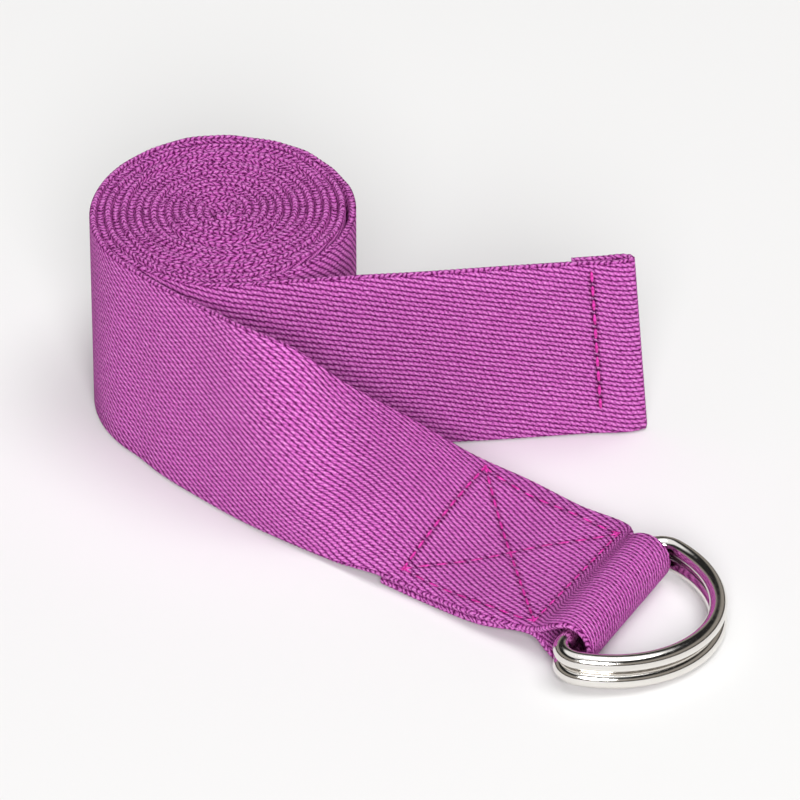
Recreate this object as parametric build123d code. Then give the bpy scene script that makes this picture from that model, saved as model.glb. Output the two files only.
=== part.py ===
# Stretching strap: 38 mm cotton webbing, folded at its middle and rolled up double, with a pair of D-rings
# sewn into one end. Millimetres, +Z up. The origin is on the floor under the middle of the roll, and +X is
# the way the rings point. The webbing stands on its edge in the roll and lies flat at the rings.
from build123d import *
import math
import os

# Webbing
WEB_WIDTH = 38.0
WEB_THICK = 1.3
LAYER_PITCH = 1.35

# Roll: an oval double spiral, longer from front to back than from side to side
ROLL_START_RADIUS = 23.6
ROLL_OVAL = 1.19
ROLL_TURN = 29.0
RING_STRAND_LEAVES = 227.8
FREE_STRAND_LEAVES = 276.9
OUTLINE_STEP = 12.0

# Ring end: where the two layers are sewn together, and the loop, drawn in narrower round the bars
SEAM_X = 89.1
SEAM_TOP = 5.3
SEAM_NEAR_Y = -49.0
SEAM_FAR_Y = -13.2
LOOP_RADIUS = 4.6
LOOP_NEAR = (96.25, -50.8)
LOOP_FAR = (94.78, -18.9)
FLAP_START_X = 56.2
FLAP_STATIONS = 4

# D-rings
WIRE = 3.1
RING_X = 95.58
RING_Y = -36.0
RING_TURN = 2.5
RING_INNER_WIDTH = 37.8
RING_DEPTH = 17.6
RING_CORNER = 3.4
BAR_GAP = 0.1

# Free end: its foot comes to stand behind its top, and its cut edge runs further out at the foot
FREE_LENGTH = 69.8
FREE_HEADING = 36.6
FREE_LEAN = 4.4
LEAN_REACHED = 30.0
END_SLANT = 3.7
HEM_LENGTH = 10.5
HEM_ROW_INSET = 7.4

# Sewing thread
THREAD = 0.6
STITCH_LENGTH = 2.4
STITCH_PITCH = 3.0
STITCH_SINK = 0.25

os.makedirs("parts", exist_ok=True)


def oval_point(radius, angle):
    """Point of the roll's oval at a radius (mm, across the short side) and an angle (degrees)."""
    a = math.radians(angle)
    turn = math.radians(ROLL_TURN)
    u = radius * math.cos(a)
    v = radius * ROLL_OVAL * math.sin(a)
    return (u * math.cos(turn) - v * math.sin(turn), u * math.sin(turn) + v * math.cos(turn))


def ring_strand_radius(angle):
    """Radius of the middle of the strand that goes to the rings: it shrinks two layers in each turn."""
    return ROLL_START_RADIUS - 2 * LAYER_PITCH * (RING_STRAND_LEAVES - angle) / 360


def free_strand_radius(angle):
    """Radius of the middle of the strand that goes to the free end, one layer inside the other."""
    return ring_strand_radius(angle) - LAYER_PITCH


def face_points(radius_of, start, stop):
    """Points along the outer face of a strand, from one angle to another."""
    steps = max(2, round(abs(stop - start) / OUTLINE_STEP))
    angles = [start + (stop - start) * i / steps for i in range(steps + 1)]
    return [oval_point(radius_of(a) + WEB_THICK / 2, a) for a in angles]


def slab(near, far, down):
    """Cross-section of the webbing from its near edge to its far edge, one thickness deep along down."""
    depth = down.normalized() * WEB_THICK
    return make_face(Polyline(near, far, far + depth, near + depth, close=True))


def thickness_direction(near, far, along):
    """Direction through the webbing, away from its outer face."""
    across = Vector(*far) - Vector(*near)
    return across.cross(along)


# --- The roll -------------------------------------------------------------------------------------------
ring_strand_face = face_points(ring_strand_radius, RING_STRAND_LEAVES, FREE_STRAND_LEAVES - 360)
free_strand_face = face_points(free_strand_radius, FREE_STRAND_LEAVES, RING_STRAND_LEAVES)
roll_outline = [
    Spline(*ring_strand_face),
    Line(ring_strand_face[-1], free_strand_face[0]),
    Spline(*free_strand_face),
    Line(free_strand_face[-1], ring_strand_face[0]),
]
webbing_roll = extrude(make_face(roll_outline), WEB_WIDTH)

# --- The ring end: standing on its edge at the roll, lying flat at the rings ------------------------------
ring_start = ring_strand_face[0]
ring_start_inner = free_strand_face[-1]
flat_top = 2 * WEB_THICK
# Each station is the near edge and the far edge of the outer face
stations = [
    ((*ring_start, 0.0), (*ring_start, WEB_WIDTH)),
    ((4.0, -30.3, 0.0), (4.0, -29.5, WEB_WIDTH)),
    ((14.0, -33.8, 0.0), (14.5, -32.2, WEB_WIDTH - 0.1)),
    ((24.0, -36.9, 0.1), (24.9, -34.7, WEB_WIDTH - 0.2)),
    ((30.7, -38.4, 0.3), (32.7, -32.8, 35.4)),
    ((38.2, -39.7, 0.6), (39.2, -26.3, 27.0)),
    ((46.7, -41.3, 1.0), (45.7, -14.3, 15.5)),
    ((FLAP_START_X, -43.1, flat_top), (FLAP_START_X - 2.0, -6.9, 6.8)),
    ((65.7, -44.9, flat_top), (64.7, -6.2, 4.6)),
    ((76.7, -47.3, 3.4), (76.7, -9.5, 4.6)),
    ((SEAM_X, SEAM_NEAR_Y, SEAM_TOP), (SEAM_X, SEAM_FAR_Y, SEAM_TOP)),
]
ring_end_sections = []
flap_sections = []
for i, (near, far) in enumerate(stations):
    before = stations[max(i - 1, 0)]
    after = stations[min(i + 1, len(stations) - 1)]
    middle_before = (Vector(*before[0]) + Vector(*before[1])) * 0.5
    middle_after = (Vector(*after[0]) + Vector(*after[1])) * 0.5
    if i == 0:
        down = Vector(ring_start_inner[0] - ring_start[0], ring_start_inner[1] - ring_start[1], 0)
    elif i == len(stations) - 1:
        down = Vector(0, 0, -1)
    else:
        down = thickness_direction(near, far, middle_after - middle_before)
    ring_end_sections.append(slab(Vector(*near), Vector(*far), down))
    # The flap is the same webbing folded back underneath, one thickness lower
    if i >= len(stations) - FLAP_STATIONS:
        below = down.normalized() * WEB_THICK
        flap_sections.append(slab(Vector(*near) + below, Vector(*far) + below, down))
webbing_ring_end = loft(ring_end_sections, ruled=True)
webbing_flap = loft(flap_sections, ruled=True)

# --- The loop: one turn of webbing round the two bars, drawn in to a point at the seam --------------------
cavity_radius = LOOP_RADIUS - WEB_THICK
cavity_tip = 2.4
seam_middle = SEAM_TOP - WEB_THICK


def loop_outlines(axis_x, y):
    """Outline of the loop and of the hollow in it, across the bars at one of its ends."""
    side = Plane(origin=(0, y, 0), x_dir=(1, 0, 0), z_dir=(0, -1, 0))
    outer = make_hull([
        Pos(axis_x, LOOP_RADIUS) * Edge.make_circle(LOOP_RADIUS),
        Line((SEAM_X, SEAM_TOP - flat_top), (SEAM_X, SEAM_TOP)),
    ])
    hollow = make_hull([
        Pos(axis_x, LOOP_RADIUS) * Edge.make_circle(cavity_radius),
        Line((SEAM_X + cavity_tip, seam_middle - 0.1), (SEAM_X + cavity_tip, seam_middle + 0.1)),
    ])
    return side * outer, side * hollow


near_outline, near_hollow = loop_outlines(*LOOP_NEAR)
far_outline, far_hollow = loop_outlines(*LOOP_FAR)
webbing_loop = loft([near_outline, far_outline], ruled=True) - loft([near_hollow, far_hollow], ruled=True)


# --- The D-rings: one straight bar in the loop and a round bow in front ------------------------------------
def d_ring(bar_height, bow_height):
    """A D-ring with its bar at one height in the loop and the far end of its bow at another."""
    half_width = (RING_INNER_WIDTH + WIRE) / 2
    reach = RING_DEPTH + WIRE / 2
    bow = ThreePointArc((0, half_width), (reach, 0), (0, -half_width))
    bar = Line((0, -half_width), (0, half_width))
    outline = make_face([bow, bar])
    outline = fillet(outline.vertices(), RING_CORNER)
    path = outline.face().outer_wire()
    section = Plane(origin=path @ 0, z_dir=path % 0) * Circle(WIRE / 2)
    ring = sweep(section, path=path)
    tilt = math.degrees(math.asin((bar_height - bow_height) / reach))
    return Pos(RING_X, RING_Y, bar_height) * Rot(0, 0, RING_TURN) * Rot(0, tilt, 0) * ring


bar_offset = (WIRE + BAR_GAP) / 2
d_ring_lower = d_ring(LOOP_RADIUS - bar_offset, WIRE / 2 + 0.02)
d_ring_upper = d_ring(LOOP_RADIUS + bar_offset, WIRE / 2 + 0.02 + WIRE + BAR_GAP)

# --- The free end: standing on its edge, its top leaning out over its foot --------------------------------
heading = math.radians(FREE_HEADING)
forward = Vector(math.cos(heading), math.sin(heading), 0)
backward_side = Vector(-math.sin(heading), math.cos(heading), 0)
free_start = Vector(*free_strand_face[0], 0)
free_start_inner = Vector(*ring_strand_face[-1], 0)
upright = Vector(0, 0, WEB_WIDTH)


def free_edges(distance):
    """Foot and top of the front face of the free end, at a distance from the roll."""
    lean = FREE_LEAN * min(1.0, distance / LEAN_REACHED) ** 2
    slant = END_SLANT * distance / FREE_LENGTH
    foot = free_start + forward * (distance + slant) + backward_side * lean
    top = free_start + forward * distance + Vector(0, 0, math.sqrt(WEB_WIDTH**2 - lean**2))
    return foot, top


free_sections = [
    make_face(Polyline(free_start, free_start + upright, free_start_inner + upright, free_start_inner,
                       close=True))
]
for distance in (12.0, LEAN_REACHED, FREE_LENGTH):
    foot, top = free_edges(distance)
    free_sections.append(slab(foot, top, backward_side))
webbing_free_end = loft(free_sections, ruled=True)

# --- The hem: the last stretch of the free end turned back behind it ---------------------------------------
hem_sections = []
for distance in (FREE_LENGTH - HEM_LENGTH, FREE_LENGTH):
    foot, top = free_edges(distance)
    behind = backward_side * WEB_THICK
    hem_sections.append(slab(foot + behind, top + behind, backward_side))
webbing_hem = loft(hem_sections, ruled=True)


# --- Sewing thread ------------------------------------------------------------------------------------------
def stitch(middle, along, out):
    """One stitch, half sunk in the webbing, whose outer side is the direction out."""
    place = Plane(origin=middle + out * (THREAD / 2 - STITCH_SINK), x_dir=along, z_dir=out)
    return place * Box(STITCH_LENGTH, THREAD, THREAD)


def stitch_shares(length):
    """Places of the stitches of a row, as shares of its length."""
    count = max(1, round(length / STITCH_PITCH))
    return [(i + 0.5) / count for i in range(count)]


def top_point(x, share):
    """Point on top of the flat ring end: share is 0 at its near edge and 1 at its far edge."""
    for (near_a, far_a), (near_b, far_b) in zip(stations[-FLAP_STATIONS:], stations[1 - FLAP_STATIONS:]):
        if x <= near_b[0]:
            break
    a = Vector(*near_a) + (Vector(*far_a) - Vector(*near_a)) * share
    b = Vector(*near_b) + (Vector(*far_b) - Vector(*near_b)) * share
    return a + (b - a) * ((x - near_a[0]) / (near_b[0] - near_a[0]))


# The box with its two diagonals, which sews the flap to the ring end just behind the loop
box_left = FLAP_START_X + 2.0
box_right = SEAM_X - 1.4
box_near = 0.06
box_far = 0.94
corners = [(box_left, box_near), (box_right, box_near), (box_right, box_far), (box_left, box_far)]
box_stitch = []
for first, last in [(0, 1), (1, 2), (2, 3), (3, 0), (0, 2), (1, 3)]:
    (start_x, start_share), (end_x, end_share) = corners[first], corners[last]
    run = top_point(end_x, end_share) - top_point(start_x, start_share)
    for t in stitch_shares(run.length):
        middle = top_point(start_x + (end_x - start_x) * t, start_share + (end_share - start_share) * t)
        box_stitch.append(stitch(middle, run.cross(Vector(0, 0, 1)).cross(Vector(0, 0, 1)) * -1,
                                 Vector(0, 0, 1)))

# One row across the hem, on its front face
row_start = 0.17
row_share = 0.77
hem_foot, hem_top = free_edges(FREE_LENGTH - HEM_ROW_INSET)
hem_run = hem_top - hem_foot
hem_front = forward.cross(hem_run.normalized())
hem_stitch = [
    stitch(hem_foot + hem_run * (row_start + row_share * t), hem_run, hem_front)
    for t in stitch_shares(hem_run.length * row_share)
]

parts = {
    "webbing_roll": webbing_roll,
    "webbing_ring_end": webbing_ring_end,
    "webbing_flap": webbing_flap,
    "webbing_loop": webbing_loop,
    "webbing_free_end": webbing_free_end,
    "webbing_hem": webbing_hem,
    "d_ring_lower": d_ring_lower,
    "d_ring_upper": d_ring_upper,
    "box_stitch": Compound(children=box_stitch),
    "hem_stitch": Compound(children=hem_stitch),
}
for name, shape in parts.items():
    export_step(shape, f"parts/{name}.step")
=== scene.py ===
import math

import bpy
import numpy as np
from mathutils import Euler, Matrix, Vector
from mathutils.bvhtree import BVHTree


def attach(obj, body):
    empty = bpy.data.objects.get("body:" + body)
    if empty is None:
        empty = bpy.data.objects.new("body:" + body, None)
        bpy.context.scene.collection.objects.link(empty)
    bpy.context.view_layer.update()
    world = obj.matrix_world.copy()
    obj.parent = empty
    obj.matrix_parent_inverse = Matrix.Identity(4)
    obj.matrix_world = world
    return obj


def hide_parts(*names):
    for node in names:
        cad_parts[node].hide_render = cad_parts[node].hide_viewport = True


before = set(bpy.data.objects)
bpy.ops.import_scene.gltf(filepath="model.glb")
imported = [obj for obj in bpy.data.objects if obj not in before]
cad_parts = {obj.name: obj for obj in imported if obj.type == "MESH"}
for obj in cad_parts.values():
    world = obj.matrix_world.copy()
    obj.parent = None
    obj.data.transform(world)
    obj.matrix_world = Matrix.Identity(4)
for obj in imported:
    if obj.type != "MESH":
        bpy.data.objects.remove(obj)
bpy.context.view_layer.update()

# --- The webbing -------------------------------------------------------------------------------------------
# One length of 38 mm cotton twill webbing, folded at its middle and wound up double from the fold. The outer
# strand leaves the roll standing and twists flat to the rings, where it goes round their bars and is sewn back
# under itself. The inner strand leaves the front of the roll and ends in a turned hem.
WIDTH = 38.0
THICK = 1.3
PITCH = 1.35
ROLL_RADIUS = 23.6
ROLL_OVAL = 1.19
ROLL_TURN = math.radians(29.0)
FLATTER_SIDE = math.radians(125.0)
FULLER_SIDE = math.radians(-10.0)
RING_STRAND_LEAVES = 227.8
FREE_STRAND_LEAVES = 276.9
HEART_RADIUS = 2.3


def roll_point(radius, angle):
    """Point of the oval roll at a radius across its short side and an angle in degrees."""
    a = math.radians(angle)
    flat_side = 0.02 * max(0.0, math.cos(a - FLATTER_SIDE)) ** 2
    full_side = 0.025 * max(0.0, math.cos(a - FULLER_SIDE)) ** 2
    out = radius * (1.0 + full_side - flat_side)
    u = out * math.cos(a)
    v = out * ROLL_OVAL * math.sin(a)
    return np.array([
        u * math.cos(ROLL_TURN) - v * math.sin(ROLL_TURN),
        u * math.sin(ROLL_TURN) + v * math.cos(ROLL_TURN),
        0.0,
    ])


def ring_strand_radius(angle):
    """Middle of the strand that goes to the rings; it comes two layers further in with each turn."""
    return ROLL_RADIUS - 2 * PITCH * (RING_STRAND_LEAVES - angle) / 360.0


SLACK = 0.45
SLACK_REACH = 72.0


def slack(angle):
    """How far the outermost turn stands off the turn inside it, at the right of the roll."""
    return SLACK * math.cos(math.radians(angle) * 90.0 / SLACK_REACH) if abs(angle) < SLACK_REACH else 0.0


# Each row of the path is the foot of the webbing, its top, and how far its middle bows out between them. The
# foot is the near edge where the webbing lies flat, and the top is the far edge.
path = []


def standing(point):
    """Adds a place where the webbing stands on its edge."""
    path.append((*point, *(point + np.array([0.0, 0.0, WIDTH])), 0.0))


# Ring end: near and far edge of the top face, from the roll to the seam behind the loop
SEAM_X = 89.1
SEAM_TOP = 5.3
ring_end = [
    ((4.0, -30.3, 0.0), (4.0, -29.5, 38.0)),
    ((14.0, -33.8, 0.0), (14.5, -32.2, 37.9)),
    ((24.0, -36.9, 0.1), (24.9, -34.7, 37.8)),
    ((30.7, -38.4, 0.3), (32.7, -32.8, 35.4)),
    ((38.2, -39.7, 0.6), (39.2, -26.3, 27.0)),
    ((46.7, -41.3, 1.0), (45.7, -14.3, 15.5)),
    ((56.2, -43.1, 2.6), (54.2, -6.9, 6.8)),
    ((65.7, -44.9, 2.6), (64.7, -6.2, 4.6)),
    ((76.7, -47.3, 3.4), (76.7, -9.5, 4.6)),
    ((SEAM_X, -49.0, SEAM_TOP), (SEAM_X, -13.2, SEAM_TOP)),
]
BOW_SHARE = 0.4
BOWED_STATIONS = 8


def lowered(index, layers):
    """Foot and top of a ring end station, moved in from the top face by a number of thicknesses."""
    near, far = (np.array(p) for p in ring_end[index])
    before = np.mean(ring_end[max(index - 1, 0)], axis=0)
    after = np.mean(ring_end[min(index + 1, len(ring_end) - 1)], axis=0)
    inwards = np.cross(far - near, after - before)
    inwards *= layers * THICK / np.linalg.norm(inwards)
    return near + inwards, far + inwards


# The flap under the ring end, from its cut end to the seam
FLAP_STATIONS = 4
for index in range(len(ring_end) - FLAP_STATIONS, len(ring_end)):
    near, far = lowered(index, 1.5)
    path.append((*near, *far, 0.0))

# The loop round the two bars. Between it and the seam the far edge is gathered in, clear of the turning rings.
LOOP_RADIUS = 4.6
LOOP_NEAR = (96.25, -50.8)
LOOP_FAR = (94.77, -18.8)
GATHERED = ((91.8, -49.9), (91.1, -18.7))
GATHERED_BELOW = 2.1
GATHERED_ABOVE = 6.4
path.append((*GATHERED[0], GATHERED_BELOW, *GATHERED[1], GATHERED_BELOW, 0.0))
for degrees in range(-112, 125, 12):
    a = math.radians(degrees)
    x = (LOOP_RADIUS - THICK / 2) * math.cos(a)
    z = LOOP_RADIUS + (LOOP_RADIUS - THICK / 2) * math.sin(a)
    path.append((LOOP_NEAR[0] + x, LOOP_NEAR[1], z, LOOP_FAR[0] + x, LOOP_FAR[1], z, 0.0))
path.append((*GATHERED[0], GATHERED_ABOVE, *GATHERED[1], GATHERED_ABOVE, 0.0))

# The ring end itself, back to the roll. Where it is narrower than the webbing is wide, it bows out by a share
# of the rise of an arc of that width.
for index in range(len(ring_end) - 1, -1, -1):
    near, far = lowered(index, 0.5)
    chord = np.linalg.norm(far - near)
    rise = math.sqrt(0.375 * chord * max(0.0, WIDTH - chord))
    bow = BOW_SHARE * rise if index < BOWED_STATIONS else 0.0
    path.append((*near, *far, bow))

# The strand to the rings winds in to the fold, and the other strand winds out again one layer inside it
TURN_STEP = 3.0
angle = RING_STRAND_LEAVES
while ring_strand_radius(angle) > HEART_RADIUS:
    standing(roll_point(ring_strand_radius(angle) + slack(angle), angle))
    angle -= TURN_STEP
fold_middle = roll_point(HEART_RADIUS - PITCH / 2, angle)
fold_arm = roll_point(HEART_RADIUS, angle) - fold_middle
fold_along = np.cross([0.0, 0.0, -1.0], fold_arm)
for degrees in range(30, 180, 30):
    a = math.radians(degrees)
    standing(fold_middle + fold_arm * math.cos(a) + fold_along * math.sin(a))
while angle < FREE_STRAND_LEAVES:
    standing(roll_point(ring_strand_radius(angle) - PITCH, angle))
    angle += TURN_STEP

# The free end, its foot behind its top, and the hem turned back behind it
FREE_LENGTH = 69.8
FREE_HEADING = math.radians(36.6)
FREE_LEAN = 4.4
LEAN_REACHED = 30.0
END_SLANT = 3.7
HEM_LENGTH = 10.5
HEM_RADIUS = THICK / 2
HEM_FOLD = FREE_LENGTH - 0.8
forward = np.array([math.cos(FREE_HEADING), math.sin(FREE_HEADING), 0.0])
behind = np.array([-math.sin(FREE_HEADING), math.cos(FREE_HEADING), 0.0])
free_start = roll_point(ring_strand_radius(FREE_STRAND_LEAVES) - PITCH, FREE_STRAND_LEAVES)


def free_edges(distance, depth):
    """Foot and top of the free end at a distance from the roll and a depth behind its front layer."""
    lean = FREE_LEAN * min(1.0, distance / LEAN_REACHED) ** 2
    foot = free_start + forward * (distance * (1 + END_SLANT / FREE_LENGTH)) + behind * (lean + depth)
    top = free_start + forward * distance + behind * depth
    top[2] = math.sqrt(WIDTH**2 - lean**2)
    return foot, top


for distance in (0.0, 6.0, 12.0, 20.0, 30.0, 45.0, 60.0, HEM_FOLD):
    foot, top = free_edges(distance, 0.0)
    path.append((*foot, *top, 0.0))
for degrees in (60, 120):
    a = math.radians(degrees)
    foot, top = free_edges(FREE_LENGTH - HEM_RADIUS * (1 - math.sin(a)), HEM_RADIUS * (1 - math.cos(a)))
    path.append((*foot, *top, 0.0))
for distance in (HEM_FOLD, FREE_LENGTH - 5.0, FREE_LENGTH - HEM_LENGTH):
    foot, top = free_edges(distance, THICK)
    path.append((*foot, *top, 0.0))


def along_curve(rows, step):
    """Rows evenly spaced along a smooth curve through the given rows, and their distances from its start."""
    middle = (rows[:, 0:3] + rows[:, 3:6]) / 2
    at = np.concatenate([[0.0], np.cumsum(np.linalg.norm(np.diff(middle, axis=0), axis=1))])
    slope = np.gradient(rows, at, axis=0)
    places = np.linspace(0.0, at[-1], int(at[-1] / step) + 1)
    i = np.clip(np.searchsorted(at, places, side="right") - 1, 0, len(at) - 2)
    span = (at[i + 1] - at[i])[:, None]
    t = (places - at[i])[:, None] / span
    result = ((2 * t**3 - 3 * t**2 + 1) * rows[i] + (t**3 - 2 * t**2 + t) * span * slope[i]
              + (3 * t**2 - 2 * t**3) * rows[i + 1] + (t**3 - t**2) * span * slope[i + 1])
    return result, places


ROW_STEP = 0.55
rows, places = along_curve(np.array(path), ROW_STEP)
web_length = float(places[-1])

# The ribs of the twill slope more steeply where the webbing stands in the roll than on either end
RIB_PITCH = 1.0
YARN_PITCH = 1.05
slope_places = [0.0, 95.0, 150.0, 230.0, web_length - 300.0, web_length - 120.0, web_length]
rib_slope = np.radians(np.interp(places, slope_places, [20.0, 20.0, 28.0, 41.0, 41.0, -13.0, -13.0]))
rib_shift = np.concatenate([[0.0], np.cumsum(np.sin(rib_slope[1:]) * np.diff(places))])

# The ribbon has 8 faces across each side and 4 round each edge, and its edges are scalloped by the weave
ACROSS = 8
EDGE_ROUND = 0.38
SCALLOP = 1.05
EDGE_STEPS = 3
feet, tops, bows = rows[:, 0:3], rows[:, 3:6], rows[:, 6]
side = tops - feet
side /= np.linalg.norm(side, axis=1)[:, None]
edge_to_edge = []
cloth_values = []
rib_values = []
# The layers of the roll stand a little higher and lower along their tops
wander = np.zeros(len(places))
for rise, pace, start in ((0.22, 0.041, 0.0), (0.18, 0.117, 1.0), (0.14, 0.31, 2.0), (0.09, 0.83, 0.5)):
    wander += rise * np.sin(places * pace + start)
ROLL_FROM = 190.0
ROLL_UNTIL = web_length - 110.0
FADE = 60.0
in_roll = np.clip((places - ROLL_FROM) / FADE, 0.0, 1.0) * np.clip((ROLL_UNTIL - places) / FADE, 0.0, 1.0)
SCALLOP_DEPTH = 0.10
scallops = SCALLOP_DEPTH * np.sin(places * 2 * math.pi / SCALLOP)
shares = [EDGE_ROUND / WIDTH + (1 - 2 * EDGE_ROUND / WIDTH) * k / ACROSS for k in range(ACROSS + 1)]


def surface(w):
    """Points along the middle of the cloth's thickness, at a share of its width."""
    out = np.cross(side, np.gradient(feet + (tops - feet) * w, axis=0))
    out /= np.linalg.norm(out, axis=1)[:, None]
    return feet + (tops - feet) * w + out * (bows * 4 * w * (1 - w))[:, None]


def outwards(w):
    """Unit normal of the bowed cloth at a share of its width."""
    across = surface(min(w + 0.02, 1.0)) - surface(max(w - 0.02, 0.0))
    out = np.cross(across, np.gradient(surface(w), axis=0))
    return out / np.linalg.norm(out, axis=1)[:, None]


def add_line(w, reach, depth):
    """One line of vertices along the cloth, at a reach past the share w and a depth of -1 to 1 through it."""
    lift = np.zeros((len(places), 3))
    lift[:, 2] = wander * in_roll * (1.0 if w > 0.5 else 0.0)
    line = surface(w) + side * reach[:, None] + outwards(w) * (depth * THICK / 2) + lift * w
    v = w * WIDTH + reach
    edge_to_edge.append(line)
    cloth_values.append(np.stack([places, v, np.full(len(places), depth)], axis=1))
    phase = (v * np.cos(rib_slope) - rib_shift) / RIB_PITCH
    run = (v * np.sin(rib_slope) + places * np.cos(rib_slope)) / RIB_PITCH
    rib_values.append(np.stack([phase, run, np.zeros(len(places))], axis=1))


none = np.zeros(len(places))
for w in shares:
    add_line(w, none, 1.0)
for k in range(1, EDGE_STEPS + 1):
    a = math.pi * k / (EDGE_STEPS + 1)
    add_line(shares[-1], (EDGE_ROUND + scallops) * math.sin(a), math.cos(a))
for w in reversed(shares):
    add_line(w, none, -1.0)
for k in range(1, EDGE_STEPS + 1):
    a = math.pi * k / (EDGE_STEPS + 1)
    add_line(shares[0], -(EDGE_ROUND + scallops) * math.sin(a), -math.cos(a))

around = len(edge_to_edge)
count = len(places)
verts = np.stack(edge_to_edge, axis=1).reshape(-1, 3) * 0.001
verts[:, 2] = np.maximum(verts[:, 2], 0.0)
i, k = np.meshgrid(np.arange(count - 1), np.arange(around), indexing="ij")
following = (k + 1) % around
quads = np.stack([i * around + k, i * around + following, (i + 1) * around + following, (i + 1) * around + k],
                 axis=-1).reshape(-1, 4)
last = (count - 1) * around
faces = [list(map(int, q)) for q in quads]
for k in range(around // 2 - 1):
    ring = [k, around - 1 - k, around - 2 - k, k + 1]
    faces.append(ring)
    faces.append([last + r for r in reversed(ring)])
web_mesh = bpy.data.meshes.new("webbing")
web_mesh.from_pydata(verts.tolist(), [], faces)
web_mesh.polygons.foreach_set("use_smooth", [True] * len(faces))
for name, values in (("cloth", cloth_values), ("ribs", rib_values)):
    layer = web_mesh.attributes.new(name, "FLOAT_VECTOR", "POINT")
    layer.data.foreach_set("vector", np.stack(values, axis=1).reshape(-1).astype(np.float32))
webbing = bpy.data.objects.new("webbing", web_mesh)
bpy.context.collection.objects.link(webbing)


def put(tree, kind, inputs=None, **settings):
    """Adds a node, sets its settings, and sets or links its inputs."""
    node = tree.nodes.new(kind)
    for name, value in settings.items():
        setattr(node, name, value)
    for name, value in (inputs or {}).items():
        if isinstance(value, bpy.types.NodeSocket):
            tree.links.new(value, node.inputs[name])
        else:
            node.inputs[name].default_value = value
    return node


def calc(tree, operation, a, b=0.0, c=0.0, clamp=False):
    """A Math node's result."""
    return put(tree, "ShaderNodeMath", {0: a, 1: b, 2: c}, operation=operation, use_clamp=clamp).outputs[0]


def spread(tree, value, low, high, new_low=0.0, new_high=1.0):
    """A value taken smoothly from one range to another."""
    limits = {"Value": value, "From Min": low, "From Max": high, "To Min": new_low, "To Max": new_high}
    return put(tree, "ShaderNodeMapRange", limits, interpolation_type="SMOOTHSTEP").outputs["Result"]


def new_group(name, inputs, outputs):
    """A shader node group with named inputs and outputs, and its two end nodes."""
    tree = bpy.data.node_groups.new(name, "ShaderNodeTree")
    for socket, kind, value in inputs:
        made = tree.interface.new_socket(socket, in_out="INPUT", socket_type=kind)
        if value is not None:
            made.default_value = value
    for socket, kind in outputs:
        tree.interface.new_socket(socket, in_out="OUTPUT", socket_type=kind)
    return tree, tree.nodes.new("NodeGroupInput"), tree.nodes.new("NodeGroupOutput")


def new_material(name):
    """A new material, with its node tree and its Principled BSDF."""
    material = bpy.data.materials.new(name)
    material.use_nodes = True
    tree = material.node_tree
    return material, tree, tree.nodes["Principled BSDF"]


# Twill: diagonal ribs of short slanting yarns on the faces, and a chain of small chevrons along the edges
# Its Shade output is painted shade: low in the grooves between ribs, in the valleys between chevrons and off
# the round of the edges
weave, given, result = new_group(
    "Twill weave",
    [("Cloth", "NodeSocketVector", None), ("Ribs", "NodeSocketVector", None),
     ("Yarn pitch", "NodeSocketFloat", 1.05), ("Edge pitch", "NodeSocketFloat", 1.05)],
    [("Height", "NodeSocketFloat"), ("Shade", "NodeSocketFloat"), ("Painted fibre highlight", "NodeSocketFloat")])
cloth = put(weave, "ShaderNodeSeparateXYZ", {0: given.outputs["Cloth"]})
ribs = put(weave, "ShaderNodeSeparateXYZ", {0: given.outputs["Ribs"]})
ripple = put(weave, "ShaderNodeTexNoise", {"Vector": given.outputs["Cloth"], "Scale": 0.5, "Detail": 3.0})
fibre = put(weave, "ShaderNodeTexNoise", {"Vector": given.outputs["Cloth"], "Scale": 4.5, "Detail": 3.0,
                                          "Roughness": 0.7})
straight = calc(weave, "ADD", ribs.outputs[0], calc(weave, "MULTIPLY_ADD", ripple.outputs[0], 0.5, -0.25))
yarn_run = calc(weave, "MULTIPLY_ADD", straight, 0.6,
                calc(weave, "DIVIDE", ribs.outputs[1], given.outputs["Yarn pitch"]))
yarn_run = calc(weave, "ADD", yarn_run, calc(weave, "MULTIPLY", ripple.outputs[0], 0.8))
stepped = calc(weave, "MULTIPLY_ADD", calc(weave, "FRACT", yarn_run), 0.26, straight)
off_centre = calc(weave, "MULTIPLY_ADD", calc(weave, "FRACT", stepped), 2.0, -1.0)
squared = calc(weave, "MULTIPLY", off_centre, off_centre)
ridge = calc(weave, "SQRT", calc(weave, "SUBTRACT", 1.0, squared, clamp=True))
half_turns = calc(weave, "SINE", calc(weave, "MULTIPLY", yarn_run, math.pi))
yarn = calc(weave, "POWER", calc(weave, "ABSOLUTE", half_turns), 0.5)
face_height = calc(weave, "MULTIPLY", ridge, calc(weave, "MULTIPLY_ADD", yarn, 0.3, 0.7))
chevron = calc(weave, "ADD", calc(weave, "DIVIDE", cloth.outputs[0], given.outputs["Edge pitch"]),
               calc(weave, "MULTIPLY_ADD", calc(weave, "ABSOLUTE", cloth.outputs[2]), 0.5,
                    calc(weave, "MULTIPLY", ripple.outputs[0], 2.4)))
edge_wave = calc(weave, "SINE", calc(weave, "MULTIPLY", chevron, math.pi))
edge_height = calc(weave, "POWER", calc(weave, "ABSOLUTE", edge_wave), 0.45)
off_middle = calc(weave, "ABSOLUTE", cloth.outputs[2])
edge_round = calc(weave, "SUBTRACT", 1.0, calc(weave, "POWER", off_middle, 3.0))
edge_height = calc(weave, "MULTIPLY", edge_height, calc(weave, "MULTIPLY_ADD", edge_round, 0.6, 0.4))
on_edge = spread(weave, off_middle, 0.97, 0.85)
height = put(weave, "ShaderNodeMix", {0: on_edge, 2: face_height, 3: edge_height})
fuzzy = calc(weave, "ADD", height.outputs[0], calc(weave, "MULTIPLY_ADD", fibre.outputs[0], 1.2, -0.6))
weave.links.new(fuzzy, result.inputs["Height"])
weave.links.new(spread(weave, fuzzy, 0.32, 0.98), result.inputs["Shade"])
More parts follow.
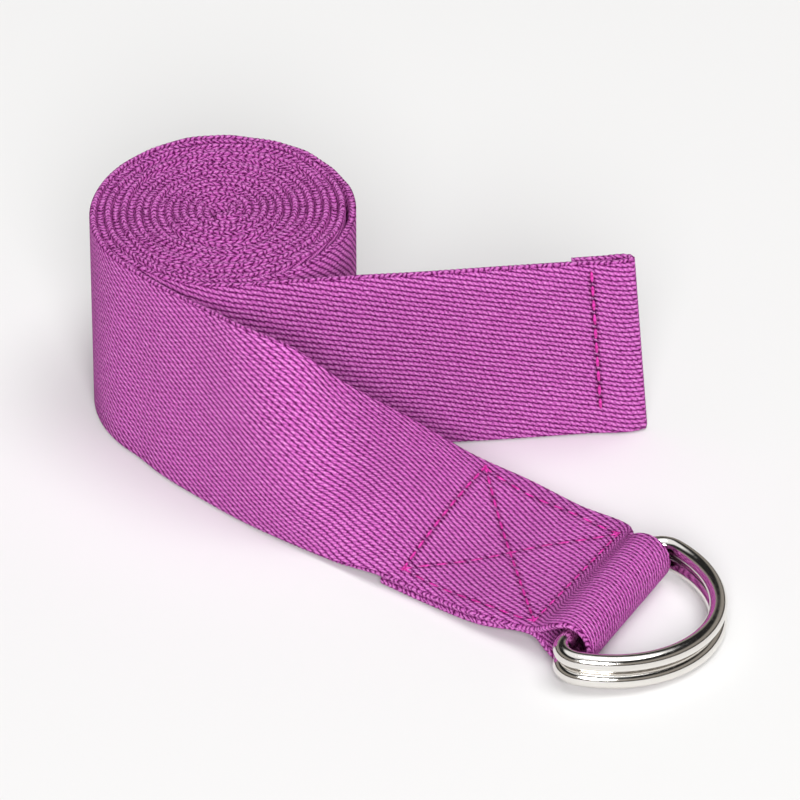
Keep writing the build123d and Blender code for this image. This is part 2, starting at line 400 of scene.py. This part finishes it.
# The flecks are painted highlights where the fibres stand highest
weave.links.new(spread(weave, fuzzy, 0.85, 1.15), result.inputs["Painted fibre highlight"])

# A dip that a sewn row pulls into the cloth, along the line from Start to End
dip, given, result = new_group(
    "Sewn dip",
    [("Point", "NodeSocketVector", None), ("Start", "NodeSocketVector", None),
     ("End", "NodeSocketVector", None), ("Width", "NodeSocketFloat", 0.0010)],
    [("Depth", "NodeSocketFloat")])
row_run = put(dip, "ShaderNodeVectorMath", {0: given.outputs["End"], 1: given.outputs["Start"]},
              operation="SUBTRACT").outputs[0]
from_start = put(dip, "ShaderNodeVectorMath", {0: given.outputs["Point"], 1: given.outputs["Start"]},
                 operation="SUBTRACT").outputs[0]
run_length = put(dip, "ShaderNodeVectorMath", {0: row_run, 1: row_run},
                 operation="DOT_PRODUCT").outputs["Value"]
run_done = put(dip, "ShaderNodeVectorMath", {0: from_start, 1: row_run},
               operation="DOT_PRODUCT").outputs["Value"]
run_share = calc(dip, "DIVIDE", run_done, run_length, clamp=True)
nearest = put(dip, "ShaderNodeVectorMath", {0: row_run, "Scale": run_share}, operation="SCALE").outputs[0]
away = put(dip, "ShaderNodeVectorMath", {0: from_start, 1: nearest}, operation="DISTANCE").outputs["Value"]
wide = calc(dip, "DIVIDE", away, given.outputs["Width"])
dip.links.new(spread(dip, wide, 1.0, 0.1), result.inputs["Depth"])

# The rows sewn through the webbing: the box with its diagonals seen from above, and the row across the hem.
# Each row has the depth its thread is sunk in the cloth, and two rows of the box lie high enough to show well.
BOX_LEFT_FAR = (57.5, -8.4)
BOX_LEFT_NEAR = (59.2, -40.9)
BOX_RIGHT_FAR = (87.3, -15.0)
BOX_RIGHT_NEAR = (87.6, -46.6)
SUNK = 0.1
DEEP = 0.34
box_rows = [(BOX_LEFT_NEAR, BOX_RIGHT_NEAR, DEEP), (BOX_RIGHT_NEAR, BOX_RIGHT_FAR, DEEP),
            (BOX_RIGHT_FAR, BOX_LEFT_FAR, DEEP), (BOX_LEFT_FAR, BOX_LEFT_NEAR, SUNK),
            (BOX_LEFT_FAR, BOX_RIGHT_NEAR, SUNK), (BOX_LEFT_NEAR, BOX_RIGHT_FAR, DEEP)]
HEM_ROW_INSET = 7.4
HEM_ROW_FROM = 0.17
HEM_ROW_TO = 0.94
hem_foot, hem_top = free_edges(FREE_LENGTH - HEM_ROW_INSET, THICK / 2)
hem_row = (hem_foot + (hem_top - hem_foot) * HEM_ROW_FROM, hem_foot + (hem_top - hem_foot) * HEM_ROW_TO)

# Painted shade: the dark groove colour darkens the rib grooves, the edge valleys and the sewn dips
GROOVE_PAINTED_SHADE_COLOUR = (0.11, 0.002, 0.075, 1.0)
RIDGE_COLOUR = (0.82, 0.155, 0.68, 1.0)
# Painted highlight: light pink flecks on the tops of the fibres
PAINTED_FIBRE_HIGHLIGHT_COLOUR = (1.0, 0.42, 0.90, 1.0)
cotton, tree, shader = new_material("Purple cotton twill")
cloth_at = put(tree, "ShaderNodeAttribute", attribute_name="cloth")
ribs_at = put(tree, "ShaderNodeAttribute", attribute_name="ribs")
twill = put(tree, "ShaderNodeGroup", node_tree=weave)
tree.links.new(cloth_at.outputs["Vector"], twill.inputs["Cloth"])
tree.links.new(ribs_at.outputs["Vector"], twill.inputs["Ribs"])
twill.inputs["Yarn pitch"].default_value = YARN_PITCH
twill.inputs["Edge pitch"].default_value = SCALLOP
at = put(tree, "ShaderNodeTexCoord").outputs["Object"]
seen_from_above = put(tree, "ShaderNodeVectorMath", {0: at, 1: (1.0, 1.0, 0.0)},
                      operation="MULTIPLY").outputs[0]
BOX_DIP = 0.6
PRESSED_BY_DIP = -0.9
SHADED_BY_DIP = -0.75
dips = 0.0
for start, end, sunk in box_rows:
    row_dip = put(tree, "ShaderNodeGroup", node_tree=dip)
    tree.links.new(seen_from_above, row_dip.inputs["Point"])
    row_dip.inputs["Start"].default_value = (start[0] * 0.001, start[1] * 0.001, 0.0)
    row_dip.inputs["End"].default_value = (end[0] * 0.001, end[1] * 0.001, 0.0)
    dips = calc(tree, "MAXIMUM", dips, calc(tree, "MULTIPLY", row_dip.outputs[0], BOX_DIP))
for aside in (-THICK * behind, THICK * behind):
    row_dip = put(tree, "ShaderNodeGroup", node_tree=dip)
    tree.links.new(at, row_dip.inputs["Point"])
    row_dip.inputs["Start"].default_value = (hem_row[0] + aside) * 0.001
    row_dip.inputs["End"].default_value = (hem_row[1] + aside) * 0.001
    dips = calc(tree, "MAXIMUM", dips, row_dip.outputs[0])
pressed = calc(tree, "MULTIPLY_ADD", dips, PRESSED_BY_DIP, twill.outputs["Height"])
# The sewn dips also darken the colour, as painted shade
shade = calc(tree, "MULTIPLY_ADD", dips, SHADED_BY_DIP, twill.outputs["Shade"], clamp=True)
colour = put(tree, "ShaderNodeMix", {0: shade, 6: GROOVE_PAINTED_SHADE_COLOUR, 7: RIDGE_COLOUR}, data_type="RGBA")
bump = put(tree, "ShaderNodeBump", {"Strength": 1.0, "Distance": 0.0004, "Height": pressed})
with_painted_highlights = put(tree, "ShaderNodeMix", {0: twill.outputs["Painted fibre highlight"], 6: colour.outputs[2], 7: PAINTED_FIBRE_HIGHLIGHT_COLOUR},
              data_type="RGBA")
tree.links.new(with_painted_highlights.outputs[2], shader.inputs["Base Color"])
tree.links.new(bump.outputs[0], shader.inputs["Normal"])
shader.inputs["Roughness"].default_value = 0.85
shader.inputs["Specular IOR Level"].default_value = 0.1
web_mesh.materials.append(cotton)
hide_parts("webbing_roll", "webbing_ring_end", "webbing_flap", "webbing_loop", "webbing_free_end",
            "webbing_hem")
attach(webbing, "strap")

# --- The sewing thread -------------------------------------------------------------------------------------
# Spun polyester thread, pinker than the webbing. A box with both diagonals holds the flap under the ring end,
# and one row holds the hem. Each row is a lockstitch, so it shows on both faces.
THREAD_RADIUS = 0.25
HEM_THREAD_RADIUS = 0.32
STITCH_LENGTH = 2.5
STITCH_PITCH = 3.0
THREAD_SHADE = (0.42, 0.004, 0.20, 1.0)
THREAD_LIGHT = (0.82, 0.04, 0.48, 1.0)
polyester, tree, shader = new_material("Pink sewing thread")
place = put(tree, "ShaderNodeTexCoord")
plies = put(tree, "ShaderNodeTexNoise", {"Vector": place.outputs["Object"], "Scale": 2500.0, "Detail": 2.0})
strand = put(tree, "ShaderNodeMix",
             {0: spread(tree, plies.outputs[0], 0.35, 0.65), 6: THREAD_SHADE, 7: THREAD_LIGHT},
             data_type="RGBA")
tree.links.new(strand.outputs[2], shader.inputs["Base Color"])
shader.inputs["Roughness"].default_value = 0.6

sewing = bpy.data.node_groups.new("Sewn row", "GeometryNodeTree")
for socket, kind, direction in (("Line", "NodeSocketGeometry", "INPUT"),
                                ("Pitch", "NodeSocketFloat", "INPUT"),
                                ("Stitch length", "NodeSocketFloat", "INPUT"),
                                ("Thread radius", "NodeSocketFloat", "INPUT"),
                                ("Stitches", "NodeSocketGeometry", "OUTPUT")):
    sewing.interface.new_socket(socket, in_out=direction, socket_type=kind)
given = sewing.nodes.new("NodeGroupInput")
result = sewing.nodes.new("NodeGroupOutput")
line = put(sewing, "GeometryNodeMeshToCurve", {"Mesh": given.outputs["Line"]})
evenly = put(sewing, "GeometryNodeResampleCurve", {"Curve": line.outputs[0], "Length": given.outputs["Pitch"]},
             mode="LENGTH")
bead = put(sewing, "GeometryNodeMeshUVSphere", {"Segments": 8, "Rings": 6, "Radius": 1.0})
half = put(sewing, "ShaderNodeMath", {0: given.outputs["Stitch length"], 1: 0.5}, operation="MULTIPLY")
scale = put(sewing, "ShaderNodeCombineXYZ", {0: half.outputs[0], 1: given.outputs["Thread radius"],
                                            2: given.outputs["Thread radius"]})
one_stitch = put(sewing, "GeometryNodeTransform",
                 {"Geometry": bead.outputs["Mesh"], "Scale": scale.outputs[0]})
smooth = put(sewing, "GeometryNodeSetShadeSmooth", {0: one_stitch.outputs[0]})
tangent = put(sewing, "GeometryNodeInputTangent")
out_way = put(sewing, "GeometryNodeInputNamedAttribute", {"Name": "out"}, data_type="FLOAT_VECTOR")
lengthwise = put(sewing, "FunctionNodeAlignRotationToVector", {"Vector": tangent.outputs[0]}, axis="X")
outward = put(sewing, "FunctionNodeAlignRotationToVector",
              {"Rotation": lengthwise.outputs[0], "Vector": out_way.outputs[0]}, axis="Z", pivot_axis="X")
stitches = put(sewing, "GeometryNodeInstanceOnPoints",
               {"Points": evenly.outputs[0], "Instance": smooth.outputs[0], "Rotation": outward.outputs[0]})
realized = put(sewing, "GeometryNodeRealizeInstances", {"Geometry": stitches.outputs[0]})
threaded = put(sewing, "GeometryNodeSetMaterial", {"Geometry": realized.outputs[0], "Material": polyester})
sewing.links.new(threaded.outputs[0], result.inputs[0])

ROW_SPACING = 0.0015
ROW_INSET = 0.35
LOOK_FROM = 0.02
cloth_faces = BVHTree.FromPolygons([v.co.copy() for v in web_mesh.vertices],
                                   [tuple(p.vertices) for p in web_mesh.polygons])


def row_on_cloth(start, end, look, above):
    """Points above the cloth along a row, found by looking one way, and the ways out of the cloth there."""
    start, end, look = Vector(start) * 0.001, Vector(end) * 0.001, Vector(look).normalized()
    found = []
    steps = max(4, round((end - start).length / ROW_SPACING))
    for k in range(steps + 1):
        share = (k + ROW_INSET) / (steps + 2 * ROW_INSET)
        spot, out, face, far = cloth_faces.ray_cast(start.lerp(end, share) - look * LOOK_FROM, look)
        if spot is not None:
            found.append((spot + out * above * 0.001, out))
    return found


def sew(name, cad_part, lines, thread_radius):
    """All the stitches along some rows, as one mesh in the place of a CAD part."""
    points, edges, outs = [], [], []
    for row in lines:
        edges += [(len(points) + k, len(points) + k + 1) for k in range(len(row) - 1)]
        points += [spot for spot, out in row]
        outs += [tuple(out) for spot, out in row]
    guide = bpy.data.meshes.new(name + " line")
    guide.from_pydata(points, edges, [])
    layer = guide.attributes.new("out", "FLOAT_VECTOR", "POINT")
    layer.data.foreach_set("vector", [c for out in outs for c in out])
    carrier = bpy.data.objects.new(name + " line", guide)
    bpy.context.collection.objects.link(carrier)
    modifier = carrier.modifiers.new("Sewn row", "NODES")
    modifier.node_group = sewing
    sockets = {item.name: item.identifier for item in sewing.interface.items_tree}
    modifier[sockets["Pitch"]] = STITCH_PITCH * 0.001
    modifier[sockets["Stitch length"]] = STITCH_LENGTH * 0.001
    modifier[sockets["Thread radius"]] = thread_radius * 0.001
    seen = carrier.evaluated_get(bpy.context.evaluated_depsgraph_get())
    mesh = bpy.data.meshes.new_from_object(seen)
    mesh.name = name
    bpy.data.objects.remove(carrier)
    thread = bpy.data.objects.new(name, mesh)
    bpy.context.collection.objects.link(thread)
    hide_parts(cad_part)
    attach(thread, "strap")
    return thread


ABOVE_SEAM = 15.0
BELOW_SEAM = -10.0
box_lines = []
for start, end, sunk in box_rows:
    for height, look in ((ABOVE_SEAM, (0, 0, -1)), (BELOW_SEAM, (0, 0, 1))):
        box_lines.append(row_on_cloth((*start, height), (*end, height), look, THREAD_RADIUS - sunk))
off_hem = behind * 4
hem_lines = [row_on_cloth(hem_row[0] - off_hem, hem_row[1] - off_hem, behind, HEM_THREAD_RADIUS - SUNK),
             row_on_cloth(hem_row[0] + off_hem, hem_row[1] + off_hem, -behind, HEM_THREAD_RADIUS - SUNK)]
box_stitching = sew("box_stitching", "box_stitch", box_lines, THREAD_RADIUS)
hem_stitching = sew("hem_stitching", "hem_stitch", hem_lines, HEM_THREAD_RADIUS)

# --- The D-rings -------------------------------------------------------------------------------------------
# Two nickel plated D-rings of 3.1 mm round wire. Their straight bars lie one above the other in the loop,
# where both can turn, and their bows lie 0.1 mm apart in front of it.
WIRE_RADIUS = 1.55
RING_MIDDLE = Vector((95.58, -36.0, 0.0))
RING_TURN = math.radians(2.5)
RING_HALF_WIDTH = 20.45
RING_REACH = 19.15
RING_CORNER = 3.4
BOW_STEPS = 96
CORNER_STEPS = 16
BAR_STEPS = 24
WIRE_SIDES = 36
BAR_OFFSET = 1.6
BOW_LIFT = 0.02

nickel, tree, shader = new_material("Polished nickel")
place = put(tree, "ShaderNodeTexCoord")
wear = put(tree, "ShaderNodeTexNoise", {"Vector": place.outputs["Object"], "Scale": 900.0, "Detail": 3.0})
tree.links.new(spread(tree, wear.outputs[0], 0.3, 0.8, 0.08, 0.2), shader.inputs["Roughness"])
shader.inputs["Base Color"].default_value = (0.80, 0.775, 0.74, 1.0)
shader.inputs["Metallic"].default_value = 1.0


def ring_outline():
    """Middle line of the wire, seen from above: a straight bar and a round bow, with rounded corners."""
    radius = (RING_HALF_WIDTH**2 + RING_REACH**2) / (2 * RING_REACH)
    centre = RING_REACH - radius
    inner = radius - RING_CORNER
    corner_y = math.sqrt(inner**2 - (RING_CORNER - centre) ** 2)
    swing = math.atan2(corner_y, RING_CORNER - centre)
    points = []
    for k in range(BOW_STEPS + 1):
        a = -swing + 2 * swing * k / BOW_STEPS
        points.append((centre + radius * math.cos(a), radius * math.sin(a)))
    for k in range(1, CORNER_STEPS + 1):
        a = swing + (math.pi - swing) * k / CORNER_STEPS
        points.append((RING_CORNER + RING_CORNER * math.cos(a), corner_y + RING_CORNER * math.sin(a)))
    for k in range(1, BAR_STEPS):
        points.append((0.0, corner_y * (1 - 2 * k / BAR_STEPS)))
    for k in range(CORNER_STEPS):
        a = math.pi + (math.pi - swing) * k / CORNER_STEPS
        points.append((RING_CORNER + RING_CORNER * math.cos(a), -corner_y + RING_CORNER * math.sin(a)))
    return points


def make_ring(name, cad_part, bar_height, bow_height, body):
    """A D-ring whose bow dips from its bar to the height given."""
    line = [Vector((x, y, (bow_height - bar_height) * x / RING_REACH)) for x, y in ring_outline()]
    ring_points, ring_faces = [], []
    for k, here in enumerate(line):
        run = (line[(k + 1) % len(line)] - line[k - 1]).normalized()
        flat = Vector((0.0, 0.0, 1.0)).cross(run).normalized()
        upward = run.cross(flat)
        for s in range(WIRE_SIDES):
            a = 2 * math.pi * s / WIRE_SIDES
            spot = here + flat * (WIRE_RADIUS * math.cos(a)) + upward * (WIRE_RADIUS * math.sin(a))
            spot.rotate(Euler((0.0, 0.0, RING_TURN)))
            ring_points.append((spot + RING_MIDDLE + Vector((0.0, 0.0, bar_height))) * 0.001)
            here_first = k * WIRE_SIDES
            next_first = (k + 1) % len(line) * WIRE_SIDES
            after = (s + 1) % WIRE_SIDES
            ring_faces.append((here_first + s, here_first + after, next_first + after, next_first + s))
    mesh = bpy.data.meshes.new(name)
    mesh.from_pydata(ring_points, [], ring_faces)
    mesh.polygons.foreach_set("use_smooth", [True] * len(ring_faces))
    mesh.materials.append(nickel)
    ring = bpy.data.objects.new(name, mesh)
    bpy.context.collection.objects.link(ring)
    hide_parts(cad_part)
    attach(ring, body)


make_ring("lower_ring_wire", "d_ring_lower", LOOP_RADIUS - BAR_OFFSET, WIRE_RADIUS + BOW_LIFT, "lower_ring")
make_ring("upper_ring_wire", "d_ring_upper", LOOP_RADIUS + BAR_OFFSET, WIRE_RADIUS + BOW_LIFT + 2 * BAR_OFFSET,
          "upper_ring")

# --- Floor, light and camera -------------------------------------------------------------------------------
# A pale floor, a soft light above, and a broad one from the front right that leaves the shadow at the left.
floor_mesh = bpy.data.meshes.new("floor")
FLOOR_HALF = 8.0
FLOOR_GAP = 0.0002
floor_corners = [(x * FLOOR_HALF, y * FLOOR_HALF, 0) for x, y in ((-1, -1), (1, -1), (1, 1), (-1, 1))]
floor_mesh.from_pydata(floor_corners, [], [(0, 1, 2, 3)])
floor = bpy.data.objects.new("floor", floor_mesh)
floor.location.z = -FLOOR_GAP
bpy.context.collection.objects.link(floor)
paper, tree, shader = new_material("Pale paper")
shader.inputs["Base Color"].default_value = (0.815, 0.815, 0.815, 1.0)
shader.inputs["Roughness"].default_value = 0.9
floor_mesh.materials.append(paper)

world = bpy.data.worlds.new("Studio")
bpy.context.scene.world = world
world.use_nodes = True
sky = world.node_tree
# Dim walls below and a bright ceiling above give the rings their dark and light bands
sky_place = put(sky, "ShaderNodeTexCoord")
sky_height = put(sky, "ShaderNodeSeparateXYZ", {0: sky_place.outputs["Generated"]})
walls = put(sky, "ShaderNodeValToRGB", {0: sky_height.outputs[2]}).color_ramp
wall_bands = [
    (0.0, (0.03, 0.03, 0.03, 1.0)),
    (0.16, (0.10, 0.09, 0.08, 1.0)),
    (0.28, (0.34, 0.31, 0.28, 1.0)),
    (0.50, (0.30, 0.28, 0.25, 1.0)),
    (0.58, (0.02, 0.02, 0.02, 1.0)),
    (0.80, (0.02, 0.02, 0.02, 1.0)),
    (0.86, (1.0, 1.0, 1.0, 1.0)),
]
while len(walls.elements) < len(wall_bands):
    walls.elements.new(0.5)
for stop, (height_share, tint) in zip(walls.elements, wall_bands):
    stop.position = height_share
    stop.color = tint
sky.links.new(sky.nodes["Color Ramp"].outputs[0], sky.nodes["Background"].inputs["Color"])
sky.nodes["Background"].inputs["Strength"].default_value = 1.0

LIGHT_AIM = Vector((0.03, -0.01, 0.0))


def softbox(name, place, size, power):
    """A round area light aimed at the strap."""
    lamp = bpy.data.lights.new(name, "AREA")
    lamp.shape = "DISK"
    lamp.size = size
    lamp.energy = power
    box = bpy.data.objects.new(name, lamp)
    box.location = place
    box.rotation_mode = "QUATERNION"
    box.rotation_quaternion = (Vector(place) - LIGHT_AIM).to_track_quat("Z", "Y")
    bpy.context.collection.objects.link(box)


softbox("overhead light", (0.9, 0.3, 3.2), size=2.0, power=35.0)
softbox("front light", (2.8, -4.6, 2.9), size=2.8, power=385.0)

VIEW_AZIMUTH = math.radians(29.0)
VIEW_ELEVATION = math.radians(31.0)
VIEW_DISTANCE = 1.186
VIEW_AIM = Vector((0.03923, -0.00684, 0.0))
AIM_RAISED = 0.0114
AIM_TO_RIGHT = 0.0003
back = Vector((math.sin(VIEW_AZIMUTH) * math.cos(VIEW_ELEVATION),
               -math.cos(VIEW_AZIMUTH) * math.cos(VIEW_ELEVATION),
               math.sin(VIEW_ELEVATION)))
right = Vector((math.cos(VIEW_AZIMUTH), math.sin(VIEW_AZIMUTH), 0.0))
up = back.cross(right)
target = VIEW_AIM + up * AIM_RAISED + right * AIM_TO_RIGHT
camera_data = bpy.data.cameras.new("camera")
camera_data.lens = 301.5
camera_data.clip_end = 100.0
camera = bpy.data.objects.new("camera", camera_data)
camera.location = target + back * VIEW_DISTANCE
camera.rotation_mode = "QUATERNION"
camera.rotation_quaternion = back.to_track_quat("Z", "Y")
bpy.context.collection.objects.link(camera)
bpy.context.scene.camera = camera
bpy.context.scene.view_settings.view_transform = "Standard"
